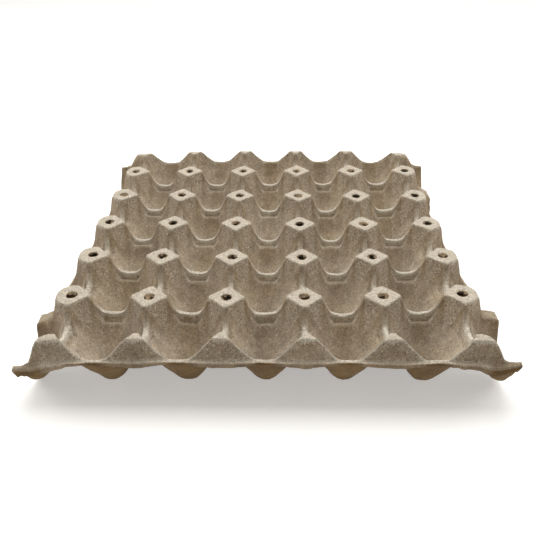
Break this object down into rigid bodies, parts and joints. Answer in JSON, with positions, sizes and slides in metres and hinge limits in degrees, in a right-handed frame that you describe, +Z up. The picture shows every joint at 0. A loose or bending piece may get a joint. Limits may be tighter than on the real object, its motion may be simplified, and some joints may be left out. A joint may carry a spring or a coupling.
{
  "type": "egg tray",
  "caption": "Square moulded-pulp egg tray: rounded cups divided by hollow flat-topped posts with drain holes, half posts along front and rear, half cups along the sides.",
  "frame": {"origin": "on the resting plane, under the middle of the tray", "axes": "+Z up, out of the cups; +X along the front rim, across the shorter rows of cups; the front rim faces -Y"},
  "size_m": [0.294, 0.297, 0.045],
  "materials": {
    "pulp": "rough, fibrous, unbleached recycled paper pulp, warm grey-brown"
  },
  "bodies": {
    "root": {"cup_r1_c1": "pulp", "cup_r1_c2": "pulp", "cup_r1_c3": "pulp", "cup_r1_c4": "pulp", "cup_r1_c5": "pulp", "cup_r2_c1": "pulp", "cup_r2_c2": "pulp", "cup_r2_c3": "pulp", "cup_r2_c4": "pulp", "cup_r2_c5": "pulp", "cup_r3_c1": "pulp", "cup_r3_c2": "pulp", "cup_r3_c3": "pulp", "cup_r3_c4": "pulp", "cup_r3_c5": "pulp", "cup_r4_c1": "pulp", "cup_r4_c2": "pulp", "cup_r4_c3": "pulp", "cup_r4_c4": "pulp", "cup_r4_c5": "pulp", "cup_r5_c1": "pulp", "cup_r5_c2": "pulp", "cup_r5_c3": "pulp", "cup_r5_c4": "pulp", "cup_r5_c5": "pulp", "cup_r6_c1": "pulp", "cup_r6_c2": "pulp", "cup_r6_c3": "pulp", "cup_r6_c4": "pulp", "cup_r6_c5": "pulp", "post_r1_c1": "pulp", "post_r1_c2": "pulp", "post_r1_c3": "pulp", "post_r1_c4": "pulp", "post_r2_c1": "pulp", "post_r2_c2": "pulp", "post_r2_c3": "pulp", "post_r2_c4": "pulp", "post_r3_c1": "pulp", "post_r3_c2": "pulp", "post_r3_c3": "pulp", "post_r3_c4": "pulp", "post_r4_c1": "pulp", "post_r4_c2": "pulp", "post_r4_c3": "pulp", "post_r4_c4": "pulp", "post_r5_c1": "pulp", "post_r5_c2": "pulp", "post_r5_c3": "pulp", "post_r5_c4": "pulp", "front_rim": "pulp", "rear_rim": "pulp", "left_edge": "pulp", "right_edge": "pulp"}
  },
  "joints": []
}
